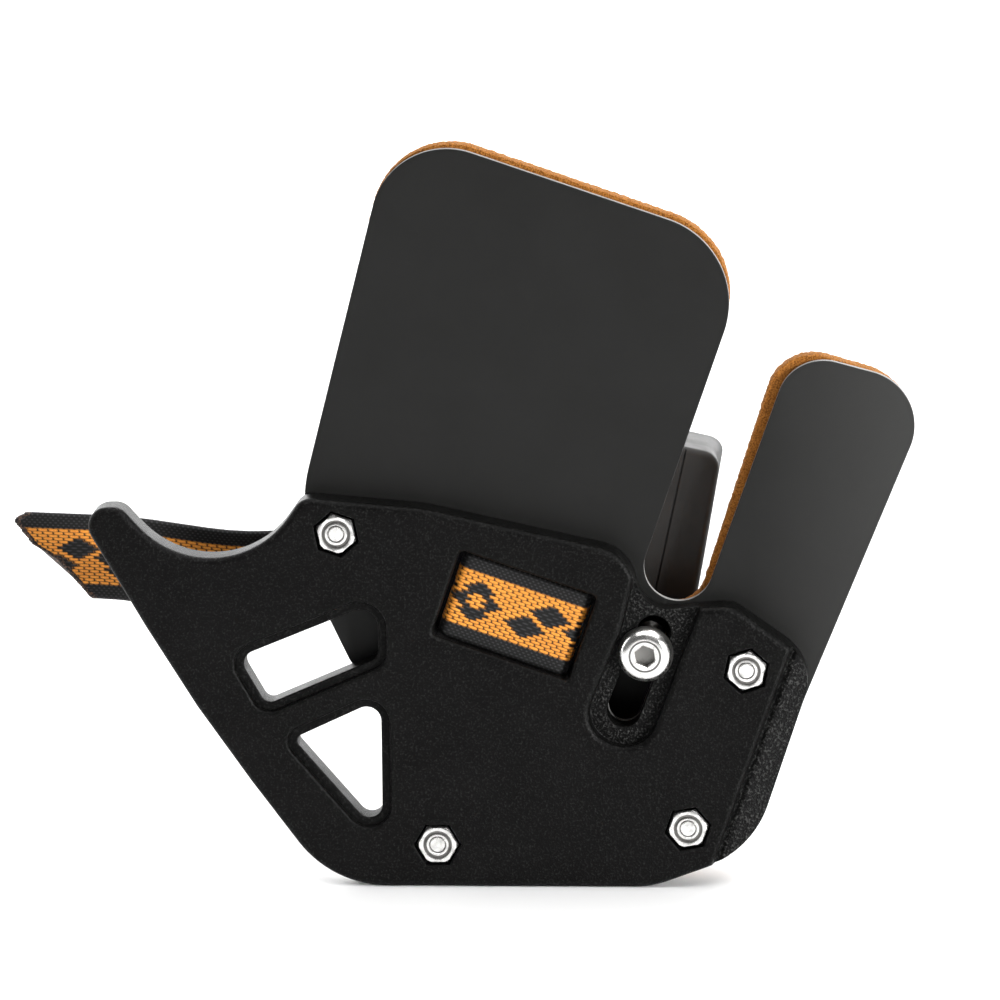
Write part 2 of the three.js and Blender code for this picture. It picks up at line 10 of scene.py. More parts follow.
import bmesh
import bpy
from mathutils import Matrix, Quaternion, Vector, noise


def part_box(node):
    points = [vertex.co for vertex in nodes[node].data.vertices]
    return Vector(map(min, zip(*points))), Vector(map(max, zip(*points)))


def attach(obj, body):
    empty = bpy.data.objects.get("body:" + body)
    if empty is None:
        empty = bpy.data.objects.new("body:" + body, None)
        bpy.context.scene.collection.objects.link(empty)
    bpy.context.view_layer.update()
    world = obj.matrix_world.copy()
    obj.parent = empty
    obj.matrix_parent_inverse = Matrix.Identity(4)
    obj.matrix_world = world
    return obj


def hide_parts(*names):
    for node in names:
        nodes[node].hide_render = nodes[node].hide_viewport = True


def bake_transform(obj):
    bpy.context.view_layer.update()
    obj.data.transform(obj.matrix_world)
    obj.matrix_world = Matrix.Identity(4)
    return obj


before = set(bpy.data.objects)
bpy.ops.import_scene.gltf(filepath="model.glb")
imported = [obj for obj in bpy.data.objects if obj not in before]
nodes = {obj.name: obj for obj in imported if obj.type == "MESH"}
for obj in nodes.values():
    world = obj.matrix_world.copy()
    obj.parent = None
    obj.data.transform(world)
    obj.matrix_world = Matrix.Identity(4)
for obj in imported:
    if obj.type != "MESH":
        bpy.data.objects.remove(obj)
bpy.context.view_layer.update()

# ------------------------------------------------------------------ dimensions

MM = 0.001
ARC_STEP = math.radians(4)

PLATE_THICK = 5
PLATE_EDGE = 0.9  # rounding of the front edges
SLOT = {"x": 18.4, "z": 29.35, "length": 11.7, "radius": 2.3, "angle": 69}
SCREW_ALONG = 2.75  # from the slot's middle to the spacer's screw
CHANNEL = {"half": 4.65, "depth": 1.8, "length": 26, "bend": (16.1, 35.1), "top": (18.6, 45)}
FACET = {"x": 39.2, "z": 34.4, "angle": 70.2, "length": 46, "above": 4}
STRAP = {"x": 1.65, "z": 37.4, "angle": -19.3, "width": 12, "thick": 1.2}
STRAP_WINDOW = {"length": 19.6, "height": 12.4, "radius": 0.7}
STRAP_TURN = 8.7  # where the webbing turns back through the leather
STRAP_MIDDLE_Y = 1.95
NUTS = {
    "upper_left": (-22.4, 48.7, 41),
    "lower_left": (-9.3, 5.3, 0),
    "lower_right": (25.0, 7.7, 10),
    "upper_right": (33.1, 29.8, 18),
}
NUT = {"flats": 5, "height": 1.9, "pocket": 5.7, "pocket_depth": 2.1, "proud": 0.1}
BOLT = {"shank": 1.25, "clearance": 1.5, "proud": 0.45}

# Outlines are corners (x, z, radius), anticlockwise seen from the string side.
PLATE_OUTLINE = [
    (-24, -0.6, 15), (20, -0.6, 14), (33.8, 4.5, 13), (42.6, 30.6, 7), (31.3, 38.7, 4),
    (19.2, 37.8, 4.5), (17.0, 46.0, 6), (-10.5, 52.2, 14), (-27.0, 53.7, 2.6),
    (-38.6, 37.6, 13), (-51.8, 52.4, 2.5), (-58.2, 52.3, 2.7), (-42.3, 24.4, 225),
]
HOOK_WINDOW_UPPER = [(-32.5, 24.8, 1.3), (-17.0, 31.4, 1.6), (-17.0, 39.2, 2.4), (-36.2, 31.4, 1.8)]
HOOK_WINDOW_LOWER = [(-16.9, 5.9, 1.8), (-16.8, 25.6, 2), (-28.9, 20.0, 0.9)]
WINDOW_SHELF = {"width": 1.2, "depth": 1.0}
BACK_OUTLINE = [
    (-15.5, 0, 3), (21, 0, 10), (32.6, 4.2, 8), (39.4, 25.4, 6), (37.4, 32.6, 3),
    (30.5, 36.2, 4), (17.2, 37.4, 5), (15.6, 44.2, 4), (-10.5, 50.4, 14), (-25.2, 51.8, 3),
    (-22.6, 37, 10), (-19.8, 29.4, 6), (-15.4, 22.5, 6),
]

# Leather: corners of the lobes' tops and the foot of the finger slot, for each layer.
LOBE_AXIS = 70
FINGER_SLOT = (23.95, 43.15)
FACE_LOBES = {
    "tops": [(58.6, 67.7, 7.6), (39.6, 72.9, 6.4), (34.3, 86.9, 12), (-14.2, 103.7, 10.4)],
    "foot": {"below": 4.8, "left": 4.8, "right": 4.6},
}
BACKING_LOBES = {
    "tops": [(58.3, 67.6, 8.2), (38.0, 73.7, 6.4), (34.2, 87.5, 11.5), (-14.1, 104.4, 10.8)],
    "foot": {"below": 5.8, "left": 5.2, "right": 4.0},
}
WIDE_FLEX = {"x": -25, "z": 54.2, "angle": -5.1}
INDEX_FLEX = {"x": 27.8, "z": 41.4, "angle": -22.5}
FLEX_LENGTH = 3.6  # how far beyond its line a lobe bends

# Finger spacer, about the screw: s along its axis, w to the right of it.
SPACER = {"angle": 77.5, "bottom": -13.2, "top": 26.8, "low_half": 5.2, "top_half": 4.45}
SPACER_CORNERS = {"low": 3.5, "top": 2.6, "shoulder": 8, "shoulder_bend": 40}

KEY_BELOW = 1.2  # from the screw down to the middle of the spacer's key

# The strap's way, in its own plane.
STRAP_SLOT = {"width": 2.2, "height": 13, "radius": 0.8}
LEATHER_SLIT = 1.15  # the leather hugs the webbing
STRAP_EXIT_Y = 15.2
STRAP_BEND = 0.9
TAIL_HINGE_T = -13.7
FINGER_LOOP = {"right": 10.7, "left": -8.2, "rear": 34, "radius": 8.2}
ANCHOR = {"t": -5.5, "end": 0, "rise": 17, "bend": 12}


def unit(degrees):
    return Vector((math.cos(math.radians(degrees)), math.sin(math.radians(degrees))))


def right_of(heading):
    return Vector((heading.y, -heading.x))


SLOT_AXIS = unit(SLOT["angle"])
SCREW = Vector((SLOT["x"], SLOT["z"])) + SLOT_AXIS * SCREW_ALONG

# The row frame's place of the design's zero, from the spacer screw and the plate's front.
_screw_low, _screw_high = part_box("spacer_screw")
_plate_low, _plate_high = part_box("front_plate")
ZERO = Vector((
    (_screw_low.x + _screw_high.x) / 2 - SCREW.x * MM,
    _plate_low.y,
    _plate_low.z - PLATE_OUTLINE[0][1] * MM,
))


def design(x, y, z):
    """A point in the design's millimetres, in the row frame."""
    return ZERO + Vector((x, y, z)) * MM


def depths(node):
    """The front and rear of a node, in the design's millimetres."""
    low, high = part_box(node)
    return (low.y - ZERO.y) / MM, (high.y - ZERO.y) / MM


# ------------------------------------------------------------------ outlines and solids

def rounded(corners, closed=True):
    """(point, unit vector to its right) along a corner list with its corners rounded."""
    points = [Vector(corner[:2]) for corner in corners]
    count = len(points)
    samples = []
    for i, corner in enumerate(corners):
        here = points[i]
        radius = corner[2] if len(corner) > 2 else 0
        if not closed and i in (0, count - 1):
            heading = points[1] - here if i == 0 else here - points[i - 1]
            samples.append((here, right_of(heading.normalized())))
            continue
        before = (here - points[i - 1]).normalized()
        after = (points[(i + 1) % count] - here).normalized()
        turn = math.atan2(before.x * after.y - before.y * after.x, before.dot(after))
        right = right_of(before)
        if radius == 0:
            mitre = right + right_of(after)
            samples.append((here, mitre / (1 + right.dot(right_of(after)))))
            continue
        side = math.copysign(1, turn)
        start = here - before * (radius * math.tan(abs(turn) / 2))
        centre = start - right * (side * radius)
        steps = max(2, math.ceil(abs(turn) / ARC_STEP))
        for k in range(steps + 1):
            out = right.copy()
            out.rotate(Matrix.Rotation(turn * k / steps, 2))
            samples.append((centre + out * (side * radius), out))
    return samples


def resampled(samples, spacing, closed=True):
    """The same line with points no further apart than spacing."""
    finer = []
    last = len(samples) if closed else len(samples) - 1
    for i in range(last):
        (a, a_out), (b, b_out) = samples[i], samples[(i + 1) % len(samples)]
        pieces = max(1, math.ceil((b - a).length / spacing))
        for k in range(pieces):
            finer.append((a.lerp(b, k / pieces), a_out.lerp(b_out, k / pieces)))
    if not closed:
        finer.append(samples[-1])
    return finer


def new_piece(name, vertices, faces, *materials):
    """A mesh object from points in the design's millimetres."""
    mesh = bpy.data.meshes.new(name)
    mesh.from_pydata([design(*v) for v in vertices], [], faces)
    for material in materials:
        mesh.materials.append(material)
    piece = bpy.data.objects.new(name, mesh)
    bpy.context.scene.collection.objects.link(piece)
    return piece


def layered(name, samples, layers, *materials):
    """A solid whose outline is moved inwards by a different amount at each depth (y, inset)."""
    count = len(samples)
    vertices = [
        (point.x - out.x * inset, y, point.y - out.y * inset)
        for y, inset in layers
        for point, out in samples
    ]
    faces = []
    for i in range(len(layers) - 1):
        for k in range(count):
            a = i * count + k
            b = i * count + (k + 1) % count
            faces.append((a, a + count, b + count, b))
    last = (len(layers) - 1) * count
    faces.append(tuple(range(count)))
    faces.append(tuple(last + k for k in reversed(range(count))))
    return new_piece(name, vertices, faces, *materials)


def slab(name, corners, front, rear):
    return layered(name, rounded(corners), [(front, 0), (rear, 0)])


def edge_layers(front, radius, steps=5, outward=False):
    """Layers of a rounded edge at the front: of a solid, or outward for the mouth of a cut."""
    sign = -1 if outward else 1
    angles = [math.pi / 2 * k / steps for k in range(steps + 1)]
    return [
        (front + radius * (1 - math.cos(a)), sign * radius * (1 - math.sin(a))) for a in angles
    ]


def turned(name, profile, x, z, segments=64, *materials):
    """A solid of revolution about an axis along Y: profile of (radius, y), front to back."""
    inner = [p for p in profile if p[0] > 0]
    vertices = [
        (x + radius * math.cos(a), y, z + radius * math.sin(a))
        for radius, y in inner
        for a in (2 * math.pi * k / segments for k in range(segments))
    ]
    faces = []
    for i in range(len(inner) - 1):
        for k in range(segments):
            a = i * segments + k
            b = i * segments + (k + 1) % segments
            faces.append((a, a + segments, b + segments, b))
    last = (len(inner) - 1) * segments
    faces.append(tuple(range(segments)))
    faces.append(tuple(last + k for k in reversed(range(segments))))
    return new_piece(name, vertices, faces, *materials)


def rod(name, radius, front, rear, x, z, segments=48):
    return turned(name, [(radius, front), (radius, rear)], x, z, segments)


def hexagon(x, z, flats, turn, radius=0.25):
    out = [unit(60 * i + turn) * (flats / math.sqrt(3)) for i in range(6)]
    return [(x + p.x, z + p.y, radius) for p in out]


def oblong(x, z, angle, length, height, radius):
    """Corners of a rectangle about (x, z), its length along angle."""
    u = unit(angle)
    up = -right_of(u)
    signs = [(-1, -1), (1, -1), (1, 1), (-1, 1)]
    corners = [Vector((x, z)) + u * (a * length / 2) + up * (b * height / 2) for a, b in signs]
    return [(p.x, p.y, radius) for p in corners]


def outward(piece):
    """Turns every face of a closed mesh to face out of it."""
    edit = bmesh.new()
    edit.from_mesh(piece.data)
    bmesh.ops.recalc_face_normals(edit, faces=edit.faces[:])
    edit.to_mesh(piece.data)
    edit.free()
    return piece


def marking(piece, deeper, *materials):
    """A tool that leaves its second material on what it cuts deeper than a depth."""
    for material in materials:
        piece.data.materials.append(material)
    for polygon in piece.data.polygons:
        polygon.material_index = 1 if polygon.center.y > design(0, deeper, 0).y else 0
    return piece


def baked(piece):
    """Applies the modifiers of a piece to its mesh."""
    evaluated = piece.evaluated_get(bpy.context.evaluated_depsgraph_get())
    mesh = bpy.data.meshes.new_from_object(evaluated)
    piece.modifiers.clear()
    old = piece.data
    piece.data = mesh
    bpy.data.meshes.remove(old)
    return piece


def combined(piece, tools, operation="DIFFERENCE"):
    """The piece with the tools cut away, or met, and the tools removed."""
    for tool in tools:
        modifier = piece.modifiers.new("combine", "BOOLEAN")
        modifier.operation = operation
        modifier.solver = "EXACT"
        modifier.object = tool
    bpy.context.view_layer.update()
    baked(piece)
    for tool in tools:
        bpy.data.objects.remove(tool)
    return piece


def smooth(piece, degrees=38):
    """Smooth shading with the sharp edges kept, weighted so that flat faces stay flat."""
    piece.data.shade_smooth()
    piece.data.set_sharp_from_angle(angle=math.radians(degrees))
    modifier = piece.modifiers.new("weighted normals", "WEIGHTED_NORMAL")
    modifier.keep_sharp = True
    modifier.weight = 80
    return piece


# ------------------------------------------------------------------ materials

def shader_of(name, **sockets):
    """A new material and its principled shader, with constant sockets set."""
    material = bpy.data.materials.new(name)
    material.use_nodes = True
    shader = material.node_tree.nodes["Principled BSDF"]
    for socket, value in sockets.items():
        shader.inputs[SOCKETS[socket]].default_value = value
    return material, shader


SOCKETS = {
    "color": "Base Color",
    "roughness": "Roughness",
    "metallic": "Metallic",
    "specular": "Specular IOR Level",
    "sheen": "Sheen Weight",
    "sheen_roughness": "Sheen Roughness",
    "sheen_tint": "Sheen Tint",
    "anisotropic": "Anisotropic",
}


def add(material, kind, settings=None, **inputs):
    """A node of the material. Inputs are constants or the sockets that feed them."""
    node = material.node_tree.nodes.new(kind)
    for key, value in (settings or {}).items():
        setattr(node, key, value)
    for key, value in inputs.items():
        socket = node.inputs[int(key[1:])] if key[0] == "i" and key[1:].isdigit() else node.inputs[key]
        if isinstance(value, bpy.types.NodeSocket):
            material.node_tree.links.new(value, socket)
        else:
            socket.default_value = value
    return node


def object_space(material):
    return add(material, "ShaderNodeTexCoord").outputs["Object"]


def grain(material, size, detail=3.0, roughness=0.55):
    """Noise from 0 to 1 with features of size millimetres."""
    scale = 1 / (size * MM)
    node = add(material, "ShaderNodeTexNoise", Vector=object_space(material), Scale=scale,
               Detail=detail, Roughness=roughness)
    return node.outputs["Fac"]


def ranged(material, value, low, high, to_low, to_high):
    node = add(material, "ShaderNodeMapRange", {"clamp": True}, i0=value, i1=low, i2=high,
               i3=to_low, i4=to_high)
    return node.outputs[0]


def blended(material, factor, first, second):
    """A colour between two others."""
    node = add(material, "ShaderNodeMix", {"data_type": "RGBA"}, i0=factor, i6=first, i7=second)
    return node.outputs[2]


def bump(material, shader, height, distance, strength=1.0, after=None):
    """Bump of distance millimetres, on top of another."""
    node = add(material, "ShaderNodeBump", Height=height, Distance=distance * MM, Strength=strength)
    if after is not None:
        material.node_tree.links.new(after, node.inputs["Normal"])
    material.node_tree.links.new(node.outputs["Normal"], shader.inputs["Normal"])
    return node.outputs["Normal"]


def feed(material, shader, socket, value):
    material.node_tree.links.new(value, shader.inputs[socket])


def plastic(name, size, depth, painted_glint, roughness):
    """Black moulding with a spark-eroded grain: pebbles of size and depth, some with a paler painted
    glint that stands in for the light they catch.
    """
    material, shader = shader_of(name, specular=0.09)
    pebbles = grain(material, size, 2.0)
    broad = grain(material, 9, 4.0)
    base = blended(material, ranged(material, broad, 0.35, 0.65, 0.0, 1.0),
                   (0.0016, 0.0016, 0.0015, 1), (0.0026, 0.0026, 0.0025, 1))
    # Painted glints: some pebbles get a paler colour in place of the light they catch.
    colour = blended(material, ranged(material, pebbles, 0.52, 0.74, 0.0, 1.0), base,
                     (painted_glint, painted_glint, painted_glint * 0.96, 1))
    feed(material, shader, "Base Color", colour)
    feed(material, shader, "Roughness", ranged(material, broad, 0.3, 0.7, roughness, roughness + 0.1))
    bump(material, shader, pebbles, depth, 1.0)
    return material


def face_leather():
    """Smooth matte black string face, with a painted highlight that grows paler towards the index lobe's
    right edge.
    """
    material, shader = shader_of("string_face", roughness=0.5, specular=0.2)
    pores = grain(material, 0.16, 2.0)
    broad = grain(material, 9, 3.0)
    worn = blended(material, ranged(material, broad, 0.35, 0.65, 0.0, 1.0),
                   (0.0095, 0.0095, 0.009, 1), (0.0105, 0.0105, 0.01, 1))
    # Painted highlight: paler from x 34 to 54 mm, standing in for the light the index lobe catches.
    across = add(material, "ShaderNodeSeparateXYZ", Vector=object_space(material)).outputs["X"]
    start, end = design(34, 0, 0).x, design(54, 0, 0).x
    colour = blended(material, ranged(material, across, start, end, 0.0, 1.0), worn,
                     (0.031, 0.031, 0.03, 1))
    feed(material, shader, "Base Color", colour)
    feed(material, shader, "Roughness", ranged(material, broad, 0.3, 0.7, 0.48, 0.54))
    bump(material, shader, pores, 0.012, 0.5)
    return material


def cut_edge():
    """Pale raw core of the string face, where it is cut."""
    material, shader = shader_of("string_face_core", roughness=0.7)
    fibres = grain(material, 0.12, 2.0)
    colour = blended(material, ranged(material, fibres, 0.3, 0.7, 0.0, 1.0),
                     (0.16, 0.16, 0.155, 1), (0.42, 0.42, 0.41, 1))
    feed(material, shader, "Base Color", colour)
    bump(material, shader, fibres, 0.03, 0.6)
    return material


def suede():
    """Orange-brown suede: tufts, painted shade in the hollows between them and a soft nap."""
    material, shader = shader_of("suede_backing", roughness=0.95, specular=0.12, sheen=0.2,
                                 sheen_roughness=0.45, sheen_tint=(1.0, 0.72, 0.42, 1))
    tufts = grain(material, 0.2, 3.0, 0.7)
    patches = grain(material, 1.6, 4.0)
    painted_hollow_shade = (0.1, 0.03, 0.005, 1)
    light = (0.5, 0.2, 0.04, 1)
    mid = (0.3, 0.105, 0.017, 1)
    # Painted shade: the hollows between the tufts turn dark brown; the patches are the suede's own tone.
    first = blended(material, ranged(material, tufts, 0.4, 0.6, 0.0, 1.0), painted_hollow_shade, light)
    colour = blended(material, ranged(material, patches, 0.35, 0.7, 0.05, 0.5), first, mid)
    feed(material, shader, "Base Color", colour)
    rough = bump(material, shader, tufts, 0.14, 0.8)
    bump(material, shader, patches, 0.1, 0.4, rough)
    return material


def spacer_rubber():
    material, shader = shader_of("spacer_rubber", roughness=0.6, specular=0.2)
    fine = grain(material, 0.12, 2.0)
    broad = grain(material, 5, 3.0)
    colour = blended(material, ranged(material, broad, 0.35, 0.65, 0.0, 1.0),
                     (0.021, 0.021, 0.0205, 1), (0.028, 0.028, 0.0275, 1))
    feed(material, shader, "Base Color", colour)
    feed(material, shader, "Roughness", ranged(material, broad, 0.3, 0.7, 0.42, 0.58))
    bump(material, shader, fine, 0.012, 0.5)
    return material


def metal(name, color, roughness):
    """Bright metal with fine tool marks and a little wear."""
    material, shader = shader_of(name, metallic=1.0)
    marks = grain(material, 0.1, 3.0)
    stains = grain(material, 1.2, 4.0)
    darker = tuple(0.62 * c for c in color) + (1,)
    colour = blended(material, ranged(material, stains, 0.5, 0.72, 0.0, 1.0), color + (1,), darker)
    feed(material, shader, "Base Color", colour)
    feed(material, shader, "Roughness", ranged(material, stains, 0.3, 0.75, roughness, roughness + 0.2))
    bump(material, shader, marks, 0.006, 0.6)
    return material


def woven_yarn():
    """Polyester webbing. The mesh says which yarn lies on top: 1 orange, 0 black, and where the
    cut end is melted."""
    material, shader = shader_of("webbing", roughness=0.6, specular=0.3, sheen=0.06,
                                 sheen_roughness=0.4)
    yarn = add(material, "ShaderNodeAttribute", {"attribute_name": "yarn"}).outputs["Fac"]
    height = add(material, "ShaderNodeAttribute", {"attribute_name": "relief"}).outputs["Fac"]
    melt = add(material, "ShaderNodeAttribute", {"attribute_name": "melt"}).outputs["Fac"]
    fibres = grain(material, 0.07, 2.0)
    streaks = grain(material, 0.3, 3.0)
    patches = grain(material, 3, 3.0)
    orange = blended(material, ranged(material, fibres, 0.3, 0.7, 0.0, 1.0),
                     (0.62, 0.17, 0.008, 1), (0.98, 0.44, 0.07, 1))
    worn = blended(material, ranged(material, patches, 0.45, 0.75, 0.0, 0.35), orange,
                   (0.5, 0.16, 0.02, 1))
    # Painted shade: where the relief is low, between the grains, the orange turns dark red-brown.
    sunk = blended(material, ranged(material, height, 0.05, 0.5, 0.0, 1.0),
                   (0.03, 0.012, 0.004, 1), worn)
    # Painted highlight and shade on the black yarn: paler where it stands high, near black where it lies
    # low.
    black = blended(material, ranged(material, height, 0.4, 0.75, 0.0, 1.0),
                    (0.002, 0.002, 0.002, 1), (0.042, 0.042, 0.044, 1))
    colour = blended(material, ranged(material, yarn, 0.0, 1.0, 0.0, 1.0), black, sunk)
    melted = blended(material, ranged(material, streaks, 0.45, 0.7, 0.0, 1.0),
                     (0.006, 0.005, 0.005, 1), (0.16, 0.09, 0.06, 1))
    whole = blended(material, ranged(material, melt, 0.3, 0.7, 0.0, 1.0), colour, melted)
    feed(material, shader, "Base Color", whole)
    feed(material, shader, "Roughness", ranged(material, melt, 0.3, 0.7, 0.62, 0.35))
    bump(material, shader, fibres, 0.03, 0.6)
    return material


# The fourth number is the colour of the glints painted on the pebbles.
PLASTIC = plastic("moulded_plastic", 0.3, 0.11, 0.016, 0.36)
COARSE = plastic("moulded_plastic_coarse", 0.34, 0.25, 0.05, 0.3)
FACE = face_leather()
CORE = cut_edge()
SUEDE = suede()
RUBBER = spacer_rubber()
STEEL = metal("stainless_steel", (0.93, 0.92, 0.9), 0.16)
# Dark steel that paints the shade in sunk rings, sockets and on whatever lies behind a face.
STEEL_PAINTED_SHADE = metal("steel_painted_shade", (0.24, 0.235, 0.225), 0.36)
BRASS = metal("brass", (0.75, 0.55, 0.24), 0.28)
WEBBING = woven_yarn()


# ------------------------------------------------------------------ front plate

def strap_point(t, n=0):
    """A point of the strap's own frame, t along it and n across it, in the plate's plane."""
    u = unit(STRAP["angle"])
    return Vector((STRAP["x"], STRAP["z"])) + u * t - right_of(u) * n


def slot_corners(radius, lower=0):
    """The slot with its round ends, reaching further down by lower."""
    length = SLOT["length"] + 2 * radius + lower
    middle = Vector((SLOT["x"], SLOT["z"])) - SLOT_AXIS * (lower / 2)
    return oblong(*middle, SLOT["angle"], length, 2 * radius, radius * 0.999)


def channel_cutter():
    half = CHANNEL["half"]
    depth = CHANNEL["depth"]
    foot = Vector((SLOT["x"], SLOT["z"])) - SLOT_AXIS * (SLOT["length"] / 2 + half)
    to_right = right_of(SLOT_AXIS) * half
    left = foot - to_right
    right = foot + to_right
    top = right + SLOT_AXIS * CHANNEL["length"]
    corners = [
        (*left, half * 0.95), (*right, half * 0.95), (*top, 1), (*CHANNEL["top"], 1),
        (*CHANNEL["bend"], 12),
    ]
    floor = [(depth - 0.3, 0), (depth - 0.09, 0.08), (depth, 0.3)]
    mouth = [(-1, -PLATE_EDGE)] + edge_layers(0, PLATE_EDGE, outward=True)
    return marking(layered("channel", rounded(corners), mouth + floor), 1.7, PLASTIC, COARSE)


def facet_cutter():
    """The right edge's facet: a steep wall, a hollow at its foot and a soft ridge, then a slope."""
    angle = FACET["angle"]
    ridge = [(1.0, 1.72), (1.25, 1.56), (1.55, 1.5), (1.9, 1.54), (2.4, 1.72)]
    section = [(-0.2, -0.1), (0.35, 0.3), (0.62, 1.45), (0.78, 1.72)] + ridge
    section += [(12, 5.0), (12, -2), (0, -2)]
    across = right_of(unit(angle))
    end = Vector((FACET["x"], FACET["z"])) + unit(angle) * FACET["above"]
    start = end - unit(angle) * FACET["length"]
    vertices = []
    for base in (start, end):
        for out, y in section:
            point = base + across * out
            vertices.append((point.x, y, point.y))
    count = len(section)
    faces = [(k, (k + 1) % count, count + (k + 1) % count, count + k) for k in range(count)]
    faces.append(tuple(reversed(range(count))))
    faces.append(tuple(count + k for k in range(count)))
    return marking(outward(new_piece("facet", vertices, faces)), 1.4, PLASTIC, COARSE)


def hook_window_cutters(corners):
    width = WINDOW_SHELF["width"]
    depth = WINDOW_SHELF["depth"]
    outline = rounded(corners)
    mouth = [(-1, -width - 0.45)] + [
        (y, inset - width) for y, inset in edge_layers(0, 0.45, 4, outward=True)
    ]
    shelf = layered("shelf", outline, mouth + [(depth, -width)])
    lip = [(y + depth, inset) for y, inset in edge_layers(0, 0.25, 3, outward=True)]
    opening = layered("opening", outline, [(0.5, -0.25)] + lip + [(PLATE_THICK + 1, 0)])
    return [shelf, opening]


def front_plate():
    rear = PLATE_THICK
    layers = edge_layers(0, PLATE_EDGE, 6) + [(rear - 0.3, 0), (rear - 0.1, 0.1), (rear, 0.3)]
    body = layered("front_plate_moulding", resampled(rounded(PLATE_OUTLINE), 6), layers, PLASTIC,
                   COARSE)
    window = STRAP_WINDOW
    opening = oblong(STRAP["x"], STRAP["z"], STRAP["angle"], window["length"], window["height"],
                     window["radius"])
    mouth = [(-1, -0.6)] + edge_layers(0, 0.6, 4, outward=True) + [(rear + 1, 0)]
    lip = [(CHANNEL["depth"] - 1, -0.14)]
    lip += edge_layers(CHANNEL["depth"], 0.14, 3, outward=True) + [(rear + 1, 0)]
    tools = [
        facet_cutter(),
        channel_cutter(),
        layered("slot", rounded(slot_corners(SLOT["radius"])), lip),
        layered("window", rounded(opening), mouth),
        *hook_window_cutters(HOOK_WINDOW_UPPER),
        *hook_window_cutters(HOOK_WINDOW_LOWER),
    ]
    for x, z, turn in NUTS.values():
        pocket = [(-1, -0.15)] + edge_layers(0, 0.15, 3, outward=True)
        pocket.append((NUT["pocket_depth"], 0))
        tools.append(layered("pocket", rounded(hexagon(x, z, NUT["pocket"], turn)), pocket))
        tools.append(rod("hole", BOLT["clearance"], 1, rear + 1, x, z))
    combined(body, tools)
    smooth(body)
    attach(body, "tab_body")
    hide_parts("front_plate")
    return body


front_plate()

# ------------------------------------------------------------------ leather

def leather_outline(lobes):
    """Both lobes of a layer with the finger slot between them."""
    u = unit(LOBE_AXIS)
    foot = lobes["foot"]
    middle = Vector(FINGER_SLOT) - u * foot["below"]
    slot_left = middle - right_of(u) * foot["left"]
    slot_right = middle + right_of(u) * foot["right"]
    radius = (foot["left"] + foot["right"]) / 2.02
    index_right, index_left, wide_right, wide_left = lobes["tops"]
    return [
        (-14.6, 0.4, 3), (21, 0.4, 10), (32.8, 4.4, 8), (41, 25.2, 6), index_right, index_left,
        (*slot_right, radius), (*slot_left, radius), wide_right, wide_left,
        (-27.7, 52.4, 20), (-24.4, 36.5, 10), (-21.3, 29.8, 6), (-14.7, 22, 6),
    ]


def strap_slots(front, rear, width=STRAP_SLOT["width"]):
    size = STRAP_SLOT
    return [
        slab("strap slot", oblong(*strap_point(t), STRAP["angle"], width, size["height"],
                                  min(size["radius"], width / 2.2)), front, rear)
        for t in (-STRAP_TURN, STRAP_TURN)
    ]


def bolt_holes(front, rear):
    return [rod("bolt hole", BOLT["clearance"], front, rear, x, z) for x, z, _ in NUTS.values()]


def right_block():
    """Everything to the right of a line up through the finger slot."""
    u = unit(LOBE_AXIS)
    reach = 90
    middle = Vector(FINGER_SLOT)
    corners = [middle - u * reach, middle - u * reach + right_of(u) * reach,
               middle + u * reach + right_of(u) * reach, middle + u * reach]
    return slab("right block", [(*corner, 0) for corner in corners], 0, 20)


def creased(piece, flex):
    """Cuts the faces into narrow strips where the leather bends."""
    edit = bmesh.new()
    edit.from_mesh(piece.data)
    heading = unit(flex["angle"])
    normal = Vector((-heading.y, 0, heading.x))
    steps = 14
    for k in range(steps + 1):
        place = design(flex["x"], 0, flex["z"]) + normal * (FLEX_LENGTH * MM * k / steps)
        bmesh.ops.bisect_plane(edit, geom=edit.verts[:] + edit.edges[:] + edit.faces[:], dist=1e-8,
                               plane_co=place, plane_no=normal)
    edit.to_mesh(piece.data)
    edit.free()


def bending(piece):
    """Bakes the piece's placement into its mesh."""
    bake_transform(piece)


def frayed(piece, amount, size):
    """Moves the edge's points a little in the plane of the leather."""
    noise.seed_set(3)
    for vertex in piece.data.vertices:
        shift = noise.noise_vector(vertex.co / (size * MM)) * (amount * MM)
        vertex.co.x += shift.x
        vertex.co.z += shift.z


def leather_pieces(name, lobes, layers, spacing, slot):
    """The sheet, carved and split down the finger slot into its wide and index pieces."""
    outline = resampled(rounded(leather_outline(lobes)), spacing)
    front = layers[0][0] - 1
    rear = layers[-1][0] + 1
    pieces = {}
    for side, operation in (("wide", "DIFFERENCE"), ("index", "INTERSECT")):
        sheet = layered(name + "_" + side, outline, layers)
        tools = [slab("spacer slot", slot, front, rear)]
        tools += strap_slots(front, rear, LEATHER_SLIT) + bolt_holes(front, rear)
        combined(sheet, tools)
        combined(sheet, [right_block()], operation)
        pieces[side] = sheet
    return pieces


FLEXES = {"wide": (WIDE_FLEX, "wide_lobe"), "index": (INDEX_FLEX, "index_lobe")}


def string_face():
    front, rear = depths("string_face_root")
    layers = [(front, 0.14), (front + 0.04, 0.05), (front + 0.14, 0), (rear - 0.05, 0), (rear, 0.05)]
    slot = slot_corners(SLOT["radius"])
    for side, piece in leather_pieces("string_face", FACE_LOBES, layers, 1, slot).items():
        flex, lobe = FLEXES[side]
        creased(piece, flex)
        piece.data.materials.clear()
        piece.data.materials.append(FACE)
        piece.data.materials.append(CORE)
        for polygon in piece.data.polygons:
            polygon.material_index = 1 if abs(polygon.normal.y) < 0.4 else 0
        smooth(piece)
        bending(piece)
        replaced = [f"string_face_{side}_flap"] + (["string_face_root"] if side == "wide" else [])
        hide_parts(*replaced)


